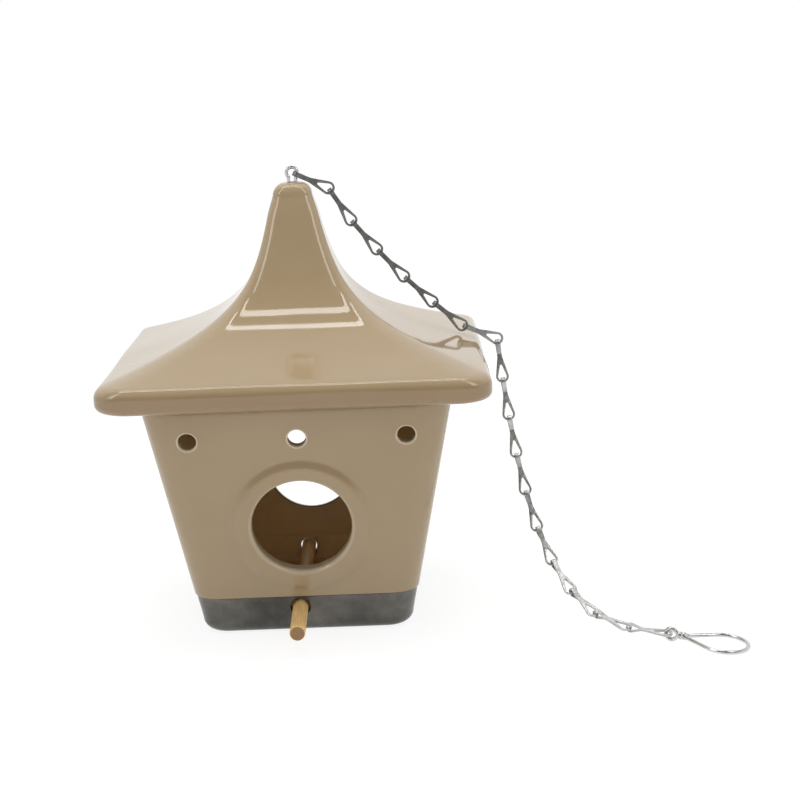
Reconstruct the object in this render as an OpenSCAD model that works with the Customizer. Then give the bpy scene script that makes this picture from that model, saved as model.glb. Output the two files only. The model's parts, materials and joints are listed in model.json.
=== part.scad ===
// Hanging bird feeder: a glazed ceramic house with a spired roof, a perch dowel and a hanging chain.
// The origin is the centre of the foot, +Z is up and the feeding holes face -Y and +Y.

/* [Roof] */
// Width of the square roof over its eaves
roof_w = 154; // [130:1:180]
// Height of the roof from its soffit to the top of the spire
roof_h = 80.25; // [72:0.25:95]
// Width that the spire's slope would reach at its top
spire_w = 15.8; // [15:0.1:20]
// How far the curve of the flare is drawn in towards the axis
flare_inset = 9.4; // [7:0.1:12]
// Pitch of the roof's plain lower slope, in degrees
roof_pitch = 14; // [8:0.5:18]
// Height of the slope above the soffit where it would meet the eave's face
skirt_h = 9.6; // [9:0.1:13]
// Radius of the eave's upper edge
eave_r = 4.8; // [3:0.1:5.5]
// Radius of the eave's lower edge
drip_r = 3.8; // [1:0.1:4]
// Radius of the spire's rounded top
cap_r = 5; // [3:0.1:5.4]
// Radius of the eave's corners in plan
roof_corner_r = 11.5; // [8:0.5:24]
// Radius that the hips would have at the roof's axis
hip_r = 2.1; // [0.5:0.1:3]
// Thickness of the roof shell over its cavity
roof_wall = 4.5; // [3.5:0.5:5.5]
// Width of the flat ceiling inside the spire
ceiling_w = 15; // [14:0.5:18]

/* [House] */
// Width of the house under the roof
house_top_w = 124; // [112:1:128]
// Width of the house where it would meet the ground
house_foot_w = 86.5; // [80:0.5:100]
// Height of the walls above the base
wall_h = 83.75; // [78:0.25:95]
// Thickness of the walls
wall = 4.5; // [3.5:0.5:6]
// Radius of the upright corners
house_corner_r = 13; // [9:0.5:18]

/* [Openings] */
// Diameter of the feeding holes
feed_d = 40; // [30:1:44]
// Height of the feeding holes' centres above the ground
feed_z = 47.5; // [45:0.5:50]
// Width of the raised ring round a feeding hole
feed_ring = 9; // [6:0.5:10]
// Width of the ring's sloping outer flank
feed_flank = 3.5; // [2:0.5:4]
// How far the raised ring stands out of the wall
feed_ring_h = 1.6; // [0.8:0.2:2]
// Radius of the ring's inner lip
feed_lip_r = 2; // [1:0.5:3]
// Diameter of the vents
vent_d = 7.2; // [5:0.2:8]
// Height of the vents' centres above the ground
vent_z = 85; // [82:0.5:88]
// Distance between neighbouring vents
vent_pitch = 43; // [35:0.5:45]

/* [Base] */
// Height of the base tray
base_h = 16; // [14:0.5:20]
// How far the base is set back from the walls
base_step = 0.5; // [0.2:0.1:1.5]
// Thickness of the base tray's walls
base_wall = 4.5; // [3.5:0.5:6]
// Thickness of the base tray's floor
base_floor = 4.5; // [3:0.1:5]
// Radius of the rounded lower edge
foot_r = 5; // [3:0.5:6]

/* [Perch] */
// Diameter of the perch dowel
perch_d = 6.35; // [5:0.05:7]
// Diameter of the holes that the dowel passes through
perch_hole_d = 8.2; // [7.6:0.1:8.4]
// Height of the tray's rim above the perch holes
perch_rim = 0.7; // [0.4:0.1:1.2]
// Distance of the perch to the left of the middle
perch_aside = 2.5; // [0:0.5:8]
// Length of dowel that stands out on each side
perch_stub = 30; // [26:1:60]
// Chamfer on the dowel's ends
perch_chamfer = 0.6; // [0.2:0.1:1.2]

/* [Hanging eye] */
// Diameter of the eye's wire
eye_wire_d = 1.5; // [1.2:0.1:1.6]
// Height of the eye's centre above the spire
eye_rise = 3.9; // [3.8:0.1:8]
// Length of the eye's bent feet
eye_foot = 4; // [2:0.5:4.5]
// Diameter of the washer under the spire's ceiling
washer_d = 12; // [9:0.5:13]
// Thickness of the washer
washer_t = 1.2; // [0.8:0.1:2]

/* [Chain] */
// Distance from one link's eye to the next
link_pitch = 16.4; // [15:0.1:17]
// Width of a link's eye
link_eye_w = 5.5; // [5.3:0.1:6.5]
// Width of the strip round the eye
link_bar = 0.95; // [0.8:0.05:1]
// Thickness of the folded sheet
link_sheet = 0.5; // [0.3:0.05:0.5]
// Width of the folded neck
link_neck = 2; // [1.6:0.1:2]
// Length of the narrow neck measured from the link's pivot
neck_l = 7.5; // [7:0.5:8.5]
// Length of the eye's teardrop point measured from the eye's centre
link_slot = 4.8; // [4:0.1:7]
// Inside diameter of the fold that holds the link before
fold_d = 2.75; // [2.4:0.05:2.8]
// Steepest drop of the links that hang from the eave, in degrees
hang_drop = 80.2; // [74:0.2:82]
// Direction in which the chain hangs, in degrees from +X
hang_heading = -63; // [-70:1:-40]
// Direction to which the chain turns as it lands, in degrees from +X
land_heading = 6; // [-30:1:8]

/* [Hanger loop] */
// Diameter of the hanger's wire
hook_wire_d = 1.6; // [1.2:0.1:1.7]
// Length of the open loop
hook_l = 29; // [26:1:45]
// Width of the open loop
hook_w = 20; // [16:0.5:26]
// Diameter of the twisted neck between the ring and the loop
hook_neck_d = 3.6; // [3.5:0.1:4.2]
// Length of the twisted neck
hook_neck_l = 3; // [2:0.5:5]
// Direction of the loop on the table, in degrees from +X
hook_heading = -25; // [-45:1:-20]

/* [Hidden] */
$fn = 64;
link_count = 17;
link_names = [for (i = [1:link_count]) str("chain_link_", i < 10 ? "0" : "", i)];

glaze_tan = [0.61, 0.54, 0.42];
pewter_grey = [0.38, 0.37, 0.35];
birch = [0.80, 0.66, 0.45];
zinc = [0.75, 0.77, 0.76];
steel = [0.55, 0.56, 0.56];

// Clearances between pieces
seat_gap = 0.1;
wire_clear = 0.25;
perch_clear = 0.3;
chain_clear = 0.4;
cut = 1;
bore_l = 3 * wall;

// Heights and half widths of the house and the roof
house_h = base_h + wall_h;
peak_z = house_h + roof_h;
eave_half = roof_w / 2;
perch_hole_z = base_h - perch_rim - perch_hole_d / 2;
lean = atan((house_top_w - house_foot_w) / 2 / house_h);
function house_half(z) = (house_foot_w + (house_top_w - house_foot_w) * z / house_h) / 2;

// The roof's slope is a plain pitch with a flare that rises from it to the spire
pitch_grade = tan(roof_pitch);
flare_rise = roof_h - skirt_h - pitch_grade * (eave_half - spire_w / 2);
flare = flare_rise / (pow(spire_w / 2 + flare_inset, -2) - pow(eave_half + flare_inset, -2));
slope_floor = house_h + skirt_h + pitch_grade * eave_half - flare / pow(eave_half + flare_inset, 2);
function slope_z(w) = slope_floor + flare / pow(w + flare_inset, 2) - pitch_grade * w;
function slope_grade(w) = 2 * flare / pow(w + flare_inset, 3) + pitch_grade;
function slope_width(z, w, turns) = turns == 0
    ? w
    : slope_width(z, w + (slope_z(w) - z) / slope_grade(w), turns - 1);
eave_turn = 90 - atan(slope_grade(eave_half - eave_r));
slope_w = eave_half - eave_r + eave_r * cos(eave_turn);
eave_centre_z = slope_z(slope_w) - eave_r * sin(eave_turn);
cap_z = peak_z - cap_r;
cap_w = slope_width(cap_z, spire_w / 2, 12);
cavity_w = house_top_w / 2 - wall;
ceiling_z = slope_z(ceiling_w / 2 + roof_wall) - roof_wall;
slope_steps = 16;
cavity_steps = 5;
arc_steps = 5;
corner_steps = 8;
wire_sides = 20;
loop_steps = 32;

// Sizes of the chain and of what it hangs on
seat_r = (link_eye_w - link_bar) / 2;
fold_r = fold_d / 2 + link_sheet;
fold_taper = 2.2;
taper_l = fold_r + fold_taper;
slot_half = 0.4 * link_bar;
eye_open_r = link_eye_w / 2 - link_bar;
eye_z = peak_z + eye_rise;
eye_open_turn = 50;
eye_leg_x = seat_r * cos(eye_open_turn);
eye_bore_d = 2 * (eye_leg_x + eye_wire_d / 2 + wire_clear);
eye_foot_z = ceiling_z - washer_t - seat_gap - eye_wire_d / 2;
hook_ring_r = seat_r;

// Lie of the chain: over the roof past the eave, down and forward, then flat on the table
roof_heading = 6.7;
roof_sway = [-17.3, 14.3, 8.2, 4.8, 1.4, -1.8, -18.6];
landing_h = 35;
landing_turn_h = 3.2;
rest_clear = 0.6;
rest_z = fold_r + rest_clear;
eave_pass_x = eave_half + link_eye_w / 2 + chain_clear;
eave_reach = (eave_half - eave_r) / cos(roof_heading);
eave_fall = eye_z - eave_centre_z;
chain_offset = eave_r + link_eye_w / 2 + chain_clear;
roof_drop = atan2(eave_fall, eave_reach) - asin(chain_offset / norm([eave_reach, eave_fall]));

function over_roof(p) = p.x < eave_pass_x;
function landed(p, h) = exp(-max(0, p.z - rest_z) / h);
function sway(i) = i < len(roof_sway) ? roof_sway[i] : 0;
function drop(i, p) = over_roof(p) ? roof_drop + sway(i) : hang_drop * (1 - landed(p, landing_h));
function heading(p) = over_roof(p)
    ? roof_heading
    : hang_heading + (land_heading - hang_heading) * landed(p, landing_turn_h);
function roll(p, d) = over_roof(p) ? 0 : (90 + heading(p)) * sin(d) - 90;
function link_turn(i, p) = [roll(p, drop(i, p)), drop(i, p), heading(p)];
function along(t) = [cos(t.z) * cos(t.y), sin(t.z) * cos(t.y), -sin(t.y)];
function chain_from(i, p) = i == link_count
    ? [p]
    : concat([p], chain_from(i + 1, p + link_pitch * along(link_turn(i, p))));
chain = chain_from(0, [0, 0, eye_z]);
turns = [for (i = [0:link_count - 1]) link_turn(i, chain[i])];
chain_end = chain[link_count];

// The hanger's wire ring stands on the table and its loop slopes down from the ring
hook_lift = hook_ring_r + hook_wire_d / 2 + seat_gap - chain_end.z;
hook_start_x = seat_r + hook_ring_r;
hook_loop_r = (hook_w - hook_wire_d) / 2;
hook_loop_x = hook_start_x + hook_l - hook_loop_r - hook_wire_d / 2;
hook_fall = chain_end.z + hook_lift - hook_wire_d / 2 - seat_gap;
hook_drop = asin(hook_fall / (hook_loop_x + hook_loop_r));
hook_spread = hook_wire_d / 2 + seat_gap;

// A rounded square of half width w and corner radius r at height z
function ring(w, r, z) = [
    for (q = [0:3])
        for (k = [0:corner_steps])
            let (a = 90 * (q + k / corner_steps))
                [
                    (q == 0 || q == 3 ? 1 : -1) * (w - r) + r * cos(a),
                    (q < 2 ? 1 : -1) * (w - r) + r * sin(a),
                    z
                ]
];

// Faces that join ring i to ring k, with n points in each
function band(i, k, n) = [
    for (j = [0:n - 1])
        let (m = (j + 1) % n)
            [k * n + j, k * n + m, i * n + m, i * n + j]
];

// A closed skin over rings, with flat caps on the first and the last ring
module skin(rings) {
    last = len(rings) - 1;
    n = len(rings[0]);
    polyhedron(
        points = [for (r = rings) each r],
        faces = concat(
            [[for (j = [0:n - 1]) j]],
            [for (i = [0:last - 1]) each band(i, i + 1, n)],
            [[for (j = [n - 1:-1:0]) last * n + j]]
        )
    );
}

// A closed tube over rings, whose last ring joins the first one
module tube(rings) {
    count = len(rings);
    polyhedron(
        points = [for (r = rings) each r],
        faces = [for (i = [0:count - 1]) each band(i, (i + 1) % count, len(rings[0]))]
    );
}

// Where a line from point q touches a circle of radius r round c, on the upper side
function tangent_at(q, c, r) =
    let (d = q - c, a = atan2(d.y, d.x) + sign(d.x) * acos(r / norm(d)))
        c + r * [cos(a), sin(a)];

function flip(p) = [p.x, -p.y];

// Places a child on the front wall at height z, with its +Z along the wall's outward normal
module on_front(z) {
    translate([0, -house_half(z), z])
        rotate([90 + lean, 0, 0])
            children();
}

module front_and_back() {
    children();
    mirror([0, 1, 0])
        children();
}

function roof_ring(w, z) = ring(w, hip_r + (roof_corner_r - hip_r) * w / eave_half, z);
function steps(a, b, n) = [for (k = [0:n]) a * pow(b / a, k / n)];

module roof() {
    cavity = [for (w = steps(ceiling_w / 2, cavity_w, cavity_steps))
        roof_ring(w, slope_z(w + roof_wall) - roof_wall)];
    drip = [for (k = [0:arc_steps]) let (a = 90 * k / arc_steps - 90)
        roof_ring(eave_half - drip_r * (1 - cos(a)), house_h + drip_r * (1 + sin(a)))];
    eave = [for (k = [0:arc_steps]) let (a = eave_turn * k / arc_steps)
        roof_ring(eave_half - eave_r * (1 - cos(a)), eave_centre_z + eave_r * sin(a))];
    slope = [for (w = steps(slope_w, cap_w, slope_steps)) roof_ring(w, slope_z(w))];
    cap = [for (k = [1:arc_steps]) let (a = 90 * k / arc_steps)
        roof_ring(cap_w - cap_r * (1 - cos(a)), cap_z + cap_r * sin(a))];
    slope_inside = [for (k = [1:slope_steps]) slope[k]];
    color(glaze_tan)
        difference() {
            skin(concat(cavity, [roof_ring(cavity_w, house_h)], drip, eave, slope_inside, cap));
            translate([0, 0, ceiling_z - cut])
                cylinder(d = eye_bore_d, h = peak_z - ceiling_z + 2 * cut);
        }
}

// Soft raised ring round a feeding hole
module feed_collar() {
    feed_r = feed_d / 2;
    rotate_extrude()
        union() {
            translate([feed_r + feed_lip_r, feed_ring_h - feed_lip_r])
                circle(r = feed_lip_r);
            polygon([
                [feed_r + feed_lip_r, -wall / 2],
                [feed_r + feed_lip_r, feed_ring_h],
                [feed_r + feed_ring - feed_flank, feed_ring_h],
                [feed_r + feed_ring, 0],
                [feed_r + feed_ring, -wall / 2]
            ]);
        }
}

module house() {
    low = house_half(base_h);
    high = house_half(house_h);
    inner_r = house_corner_r - wall;
    color(glaze_tan)
        difference() {
            union() {
                tube([
                    ring(low, house_corner_r, base_h),
                    ring(high, house_corner_r, house_h),
                    ring(high - wall, inner_r, house_h),
                    ring(low - wall, inner_r, base_h)
                ]);
                front_and_back()
                    on_front(feed_z)
                        feed_collar();
            }
            front_and_back() {
                on_front(feed_z)
                    cylinder(d = feed_d, h = bore_l, center = true);
                for (s = [-1:1])
                    translate([s * vent_pitch, 0, 0])
                        on_front(vent_z)
                            cylinder(d = vent_d, h = bore_l, center = true);
            }
        }
}

module base_tray() {
    foot = house_half(foot_r) - base_step;
    high = house_half(base_h) - base_step;
    low = house_half(base_floor) - base_step;
    inner_r = house_corner_r - base_wall;
    edge = [for (k = [0:arc_steps]) let (a = 90 * k / arc_steps - 90, d = foot_r * (1 - cos(a)))
        ring(foot - d, house_corner_r - d, foot_r * (1 + sin(a)))];
    color(pewter_grey)
        difference() {
            skin(concat(edge, [
                ring(high, house_corner_r, base_h),
                ring(high - base_wall, inner_r, base_h),
                ring(low - base_wall, inner_r, base_floor)
            ]));
            translate([-perch_aside, 0, perch_hole_z])
                rotate([90, 0, 0])
                    cylinder(d = perch_hole_d, h = 2 * high + 2 * cut, center = true);
        }
}

// The dowel lies low in its loose holes
module perch() {
    perch_z = perch_hole_z - (perch_hole_d - perch_d) / 2 + perch_clear;
    half_l = house_half(perch_z) + perch_stub;
    r = perch_d / 2;
    tip = r - perch_chamfer;
    shoulder = half_l - perch_chamfer;
    color(birch)
        translate([-perch_aside, 0, perch_z])
            rotate([90, 0, 0])
                rotate_extrude()
                    polygon([
                        [0, -half_l], [tip, -half_l], [r, -shoulder],
                        [r, shoulder], [tip, half_l], [0, half_l]
                    ]);
}

// Round wire from one point to another
module wire(a, b, d) {
    v = b - a;
    translate(a)
        rotate([0, acos(v.z / norm(v)), atan2(v.y, v.x)])
            cylinder(d = d, h = norm(v));
}

// Split pin of round wire: a ring above the spire, two legs down the bore and two spread feet
module hanging_eye() {
    ring_low = eye_z - seat_r * sin(eye_open_turn);
    color(zinc) {
        translate([0, 0, eye_z])
            rotate([90, 0, 0])
                rotate([0, 0, -eye_open_turn])
                    rotate_extrude(angle = 180 + 2 * eye_open_turn)
                        translate([seat_r, 0])
                            circle(d = eye_wire_d);
        for (s = [-1, 1]) {
            translate([s * eye_leg_x, 0, ring_low])
                sphere(d = eye_wire_d);
            wire([s * eye_leg_x, 0, eye_foot_z], [s * eye_leg_x, 0, ring_low], eye_wire_d);
            translate([s * eye_leg_x, 0, eye_foot_z])
                sphere(d = eye_wire_d);
            wire([s * eye_leg_x, 0, eye_foot_z], [s * (eye_leg_x + eye_foot), 0, eye_foot_z], eye_wire_d);
        }
    }
}

module retaining_washer() {
    color(zinc)
        translate([0, 0, ceiling_z - washer_t])
            difference() {
                cylinder(d = washer_d, h = washer_t);
                translate([0, 0, -cut])
                    cylinder(d = eye_bore_d, h = washer_t + 2 * cut);
            }
}

// One folded link along +X: its fold holds the bar of the link before, its eye the link after
module link() {
    plate_x = seat_r + taper_l;
    fold_c = [seat_r, 0];
    eye_c = [link_pitch, 0];
    fold_end = [plate_x, link_sheet];
    neck_end = [neck_l, link_neck / 2];
    apex = [link_pitch - link_slot, slot_half];
    fold_touch = tangent_at(fold_end, fold_c, fold_r);
    eye_touch = tangent_at(neck_end, eye_c, link_eye_w / 2);
    open_touch = tangent_at(apex, eye_c, eye_open_r);
    translate([0, 0, -link_neck / 2])
        linear_extrude(link_neck)
            difference() {
                union() {
                    translate(fold_c)
                        circle(r = fold_r);
                    polygon([fold_c, fold_touch, fold_end, flip(fold_end), flip(fold_touch)]);
                }
                translate(fold_c)
                    circle(d = fold_d);
            }
    rotate([90, 0, 0])
        linear_extrude(2 * link_sheet, center = true)
            difference() {
                union() {
                    translate(eye_c)
                        circle(d = link_eye_w);
                    polygon([
                        [plate_x - link_bar, link_neck / 2], neck_end, eye_touch, eye_c,
                        flip(eye_touch), flip(neck_end), [plate_x - link_bar, -link_neck / 2]
                    ]);
                }
                translate(eye_c)
                    circle(r = eye_open_r);
                polygon([apex, open_touch, eye_c, flip(open_touch), flip(apex)]);
            }
}

module chain_link(i) {
    color(steel)
        translate(chain[i])
            rotate(turns[i])
                link();
}

// Section of the hanger's wire at point c, square to a turn of a degrees
function wire_ring(c, a) = [
    for (k = [0:wire_sides - 1])
        let (u = 360 * k / wire_sides, r = hook_wire_d / 2)
            [c.x + r * cos(u) * cos(a), c.y + r * cos(u) * sin(a), r * sin(u)]
];

// Bent wire loop: a small ring through the last link and an open teardrop that lies on the table
module hanger_hook() {
    start = [hook_start_x + hook_neck_l - hook_wire_d / 2, hook_spread];
    loop_c = [hook_loop_x, 0];
    touch = tangent_at(start, loop_c, hook_loop_r);
    loop_turn = atan2(touch.y, touch.x - hook_loop_x);
    bend = [for (k = [0:loop_steps]) let (a = loop_turn * (1 - 2 * k / loop_steps))
        wire_ring(loop_c + hook_loop_r * [cos(a), sin(a)], a)];
    color(zinc)
        translate(chain_end)
            rotate([0, hook_drop, hook_heading])
                translate([0, 0, hook_lift]) {
                    translate([seat_r, 0, 0])
                        rotate([90, 0, 0])
                            rotate_extrude()
                                translate([hook_ring_r, 0])
                                    circle(d = hook_wire_d);
                    translate([hook_start_x, 0, 0])
                        rotate([0, 90, 0])
                            cylinder(d = hook_neck_d, h = hook_neck_l);
                    skin(concat([wire_ring(start, loop_turn)], bend, [wire_ring(flip(start), -loop_turn)]));
                }
}

roof();
house();
base_tray();
perch();
hanging_eye();
retaining_washer();
for (i = [0:link_count - 1])
    chain_link(i);
hanger_hook();
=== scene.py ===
"""Looks for the hanging bird feeder: glazed castings, a wooden perch, a stamped chain and a wire hanger."""

import json
import math

import bmesh
import bpy
import numpy as np
from mathutils import Matrix, Vector, noise
from mathutils.geometry import delaunay_2d_cdt

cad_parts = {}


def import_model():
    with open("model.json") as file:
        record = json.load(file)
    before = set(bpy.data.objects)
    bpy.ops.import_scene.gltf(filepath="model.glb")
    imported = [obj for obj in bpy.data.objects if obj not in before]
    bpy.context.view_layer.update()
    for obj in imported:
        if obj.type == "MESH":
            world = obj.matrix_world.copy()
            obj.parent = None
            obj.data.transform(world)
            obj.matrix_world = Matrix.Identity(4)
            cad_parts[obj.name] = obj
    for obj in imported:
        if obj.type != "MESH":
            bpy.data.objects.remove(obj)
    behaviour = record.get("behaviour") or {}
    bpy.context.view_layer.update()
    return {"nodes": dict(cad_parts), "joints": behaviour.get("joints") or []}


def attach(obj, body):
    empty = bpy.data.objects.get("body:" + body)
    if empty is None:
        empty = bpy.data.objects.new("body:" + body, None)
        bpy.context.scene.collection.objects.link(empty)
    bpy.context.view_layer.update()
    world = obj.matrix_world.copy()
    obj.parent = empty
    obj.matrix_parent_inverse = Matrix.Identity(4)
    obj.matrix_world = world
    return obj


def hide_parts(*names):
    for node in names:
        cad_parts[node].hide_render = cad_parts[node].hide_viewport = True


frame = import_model()
MM = 0.001

# Sizes of the part in millimetres and degrees, as its solids have them

# Roof
ROOF_W = 154.0
ROOF_H = 80.25
SPIRE_W = 15.8
FLARE_INSET = 9.4
ROOF_PITCH = 14.0
SKIRT_H = 9.6
EAVE_R = 4.8
DRIP_R = 3.8
CAP_R = 5.0
ROOF_CORNER_R = 11.5
HIP_R = 2.1
ROOF_WALL = 4.5
CEILING_W = 15.0

# House
TOP_W = 124.0
FOOT_W = 86.5
WALL_H = 83.75
WALL = 4.5
FEED_D = 40.0
FEED_Z = 47.5
FEED_RING = 9.0
FEED_FLANK = 3.5
RING_H = 1.6
LIP_R = 2.0
VENT_D = 7.2
VENT_Z = 85.0
VENT_PITCH = 43.0

# Base tray and perch
BASE_H = 16.0
BASE_STEP = 0.5
BASE_FLOOR = 4.5
FOOT_R = 5.0
PERCH_D = 6.35
PERCH_HOLE_D = 8.2
PERCH_RIM = 0.7
PERCH_ASIDE = 2.5
PERCH_STUB = 30.0
PERCH_CLEAR = 0.3

# Hanging eye, chain and hanger
EYE_WIRE_D = 1.5
EYE_RISE = 3.9
EYE_FOOT = 4.0
EYE_OPEN_TURN = 50.0
WIRE_CLEAR = 0.25
WASHER_T = 1.2
SEAT_GAP = 0.1
LINK_COUNT = 17
LINK_PITCH = 16.4
LINK_EYE_W = 5.5
LINK_BAR = 0.95
LINK_SHEET = 0.5
LINK_NECK = 2.0
NECK_L = 7.5
LINK_SLOT = 4.8
FOLD_D = 2.75
FOLD_TAPER = 2.2
HOOK_WIRE_D = 1.6
HOOK_L = 29.0
HOOK_W = 20.0
HOOK_NECK_L = 3.0
HOOK_HEADING = -25.0

# Trims of the finished surface, where it differs a little from the solids. Lengths are in millimetres

# Corner radius of the walls, which leaves the outer vents on the flat wall
CORNER_R = 11.2
# Wall of the tray, flush inside with the wall of the house
BASE_WALL = 4.0
# How far the glaze closes in on the back perch hole
GLAZE_FILL = 0.42
# Unevenness of the slip-cast roof: its depth, the noise's scale per millimetre, its seed and where it fades
WAVINESS = 0.35
WAVE_SCALE = 0.022
WAVE_SEED = 7
WAVE_FADE_SEAT = 4.0
WAVE_FADE_PEAK = 8.0
# How the rounding of the hips grows with the roof's width
HIP_GROWTH = 0.62
# How far the spire draws in at its top, from what depth under the peak and over what length
SPIRE_DRAW = 0.9
DRAW_FROM = 13.0
DRAW_LENGTH = 11.0
# How far the spire fills out below that, at what depth and how far up and down
SPIRE_SWELL = 0.4
SWELL_AT = 20.0
SWELL_REACH = 18.0
# How dark the painted shade gets on the raised ring and round the eave, from 0 to 1
RING_PAINTED_SHADE = 0.17
EAVE_PAINTED_SHADE = 0.5
# How far into the holes the glaze runs thin, and how wide its pale lines are on the vents and the lip
THIN_DEPTH = 1.3
LIP_THIN_DEPTH = 1.2
VENT_LINE = 0.35
LIP_LINE = 1.6
# Fillets of the spire's bore, the house's foot, its holes, the tray's rim, its cove and the perch holes
BORE_LIP = 0.3
HOUSE_FOOT_R = 0.5
VENT_RIM = 0.75
FEED_BACK_R = 0.7
VENT_BACK_R = 0.5
TRAY_LIP = 0.4
TRAY_COVE = 2.0
PERCH_HOLE_LIP = 0.22
# Bend in the wire of the eye's feet
EYE_FOOT_BEND = 0.9
# Softened edges of the stamped links
LINK_SOFT = 0.16
FOLD_SOFT = 0.14
# Where a link's neck eases out into the rim of its eye, before and after its end, and by how much
EASE_BEFORE = 0.8
EASE_AFTER = 0.6
EASE_OUT = 0.05
# Point of the slot in a link's eye
SLOT_POINT = 0.25
# Where the legs of a link's fold meet the plate, how far they run into it and how much thinner they are
LEG_START = 0.4
LEG_RUN = 0.9
LEG_THINNER = 0.01
# How far the hanger's twist runs out into its loop
TWIST_RUN = 0.6
# Depth of the dowel's unevenness, which stays inside its diameter, and the radius of its even end faces
PERCH_WAVE = 0.05
PERCH_FACE_R = 2.5

# Mesh density: points in a hole's rim, and the grid of the flat walls in millimetres
HOLE_POINTS = 96
PANEL_GRID = 4.5
# Triangles smaller than this, in square millimetres, are slivers along a straight edge
SLIVER = 1e-4

HOUSE_H = BASE_H + WALL_H
PEAK_Z = HOUSE_H + ROOF_H
EAVE = ROOF_W / 2
LEAN = math.atan((TOP_W - FOOT_W) / 2 / HOUSE_H)
PITCH = math.tan(math.radians(ROOF_PITCH))
FLARE = (ROOF_H - SKIRT_H - PITCH * (EAVE - SPIRE_W / 2)) / (
    (SPIRE_W / 2 + FLARE_INSET) ** -2 - (EAVE + FLARE_INSET) ** -2
)
SLOPE_FLOOR = HOUSE_H + SKIRT_H + PITCH * EAVE - FLARE / (EAVE + FLARE_INSET) ** 2
SEAT_R = (LINK_EYE_W - LINK_BAR) / 2
EYE_TURN = math.radians(EYE_OPEN_TURN)
EYE_LEG_X = SEAT_R * math.cos(EYE_TURN)


def house_half(z):
    return (FOOT_W + (TOP_W - FOOT_W) * z / HOUSE_H) / 2


def slope_z(w):
    return SLOPE_FLOOR + FLARE / (w + FLARE_INSET) ** 2 - PITCH * w


def slope_grade(w):
    return 2 * FLARE / (w + FLARE_INSET) ** 3 + PITCH


# Where the slope runs into the rounding of the eave, and where that runs into the eave's upright face
EAVE_TURN = math.pi / 2 - math.atan(slope_grade(EAVE - EAVE_R))
SLOPE_W = EAVE - EAVE_R + EAVE_R * math.cos(EAVE_TURN)
EAVE_Z = slope_z(SLOPE_W) - EAVE_R * math.sin(EAVE_TURN)
CEILING_Z = slope_z(CEILING_W / 2 + ROOF_WALL) - ROOF_WALL
PERCH_HOLE_Z = BASE_H - PERCH_RIM - PERCH_HOLE_D / 2
PERCH_Z = PERCH_HOLE_Z - (PERCH_HOLE_D - PERCH_D) / 2 + PERCH_CLEAR


# Mesh helpers


def make(name, verts, faces, body, nodes, materials, face_material=None):
    """A mesh object from millimetre points, riding on a body and standing for the named nodes."""
    mesh = bpy.data.meshes.new(name)
    mesh.from_pydata([tuple(float(c) * MM for c in v) for v in verts], [], faces)
    for m in materials:
        mesh.materials.append(m)
    if face_material is not None:
        mesh.polygons.foreach_set("material_index", face_material)
    bm = bmesh.new()
    bm.from_mesh(mesh)
    bmesh.ops.remove_doubles(bm, verts=bm.verts, dist=2e-6)
    bmesh.ops.recalc_face_normals(bm, faces=bm.faces)
    for f in bm.faces:
        f.smooth = True
    bm.to_mesh(mesh)
    bm.free()
    obj = bpy.data.objects.new(name, mesh)
    bpy.context.scene.collection.objects.link(obj)
    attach(obj, body)
    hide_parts(*nodes)
    return obj


def even_normals(obj):
    """Large flat faces keep flat shading beside small fillets."""
    mod = obj.modifiers.new("even", "WEIGHTED_NORMAL")
    mod.mode = "FACE_AREA"
    mod.weight = 50
    mod.keep_sharp = True


def set_amounts(obj, name, amounts):
    """An amount at each point of a mesh, which the glaze reads by its name."""
    layer = obj.data.attributes.new(name, "FLOAT", "POINT")
    layer.data.foreach_set("value", np.array(amounts, np.float32))


def smooth(t):
    """A soft step from 0 to 1."""
    t = min(1.0, max(0.0, t))
    return t * t * (3 - 2 * t)


def quarter(n):
    """Angles from 0 to a right angle, in n steps."""
    return [math.pi / 2 * k / n for k in range(n + 1)]


def rounded(w, r, z, corner, side):
    """Points of a rounded square: each corner's arc, then the straight side after it."""
    arcs = []
    for q in range(4):
        cx = (w - r) * (1 if q in (0, 3) else -1)
        cy = (w - r) * (1 if q < 2 else -1)
        turns = [math.pi / 2 * q + a for a in quarter(corner)]
        arcs.append([np.array((cx + r * math.cos(a), cy + r * math.sin(a), z)) for a in turns])
    pts = []
    for q, arc in enumerate(arcs):
        start, end = arc[-1], arcs[(q + 1) % 4][0]
        pts += arc + [start + (end - start) * k / side for k in range(1, side)]
    return np.array(pts)


def loft(rings, closed=False, skip=None):
    """Quads between rings of one length. skip(i, j) leaves a quad out."""
    n = len(rings[0])
    verts = np.concatenate(rings)
    faces = []
    last = len(rings) if closed else len(rings) - 1
    for i in range(last):
        k = (i + 1) % len(rings)
        for j in range(n):
            if skip and skip(i, j):
                continue
            m = (j + 1) % n
            faces.append((i * n + j, i * n + m, k * n + m, k * n + j))
    return verts, faces


def cap(ring):
    """One face over a ring."""
    return ring, [tuple(range(len(ring)))]


def join(*parts):
    """One list of points and faces from several."""
    verts, faces = [], []
    for v, f in parts:
        base = len(verts)
        verts += [tuple(p) for p in v]
        faces += [tuple(base + i for i in face) for face in f]
    return verts, faces


def within(p, loop):
    """Whether a flat point lies inside a closed outline."""
    odd = False
    for k in range(len(loop)):
        a, b = loop[k], loop[k - 1]
        if (a[1] > p[1]) == (b[1] > p[1]):
            continue
        if p[0] < (b[0] - a[0]) * (p[1] - a[1]) / (b[1] - a[1]) + a[0]:
            odd = not odd
    return odd


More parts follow.
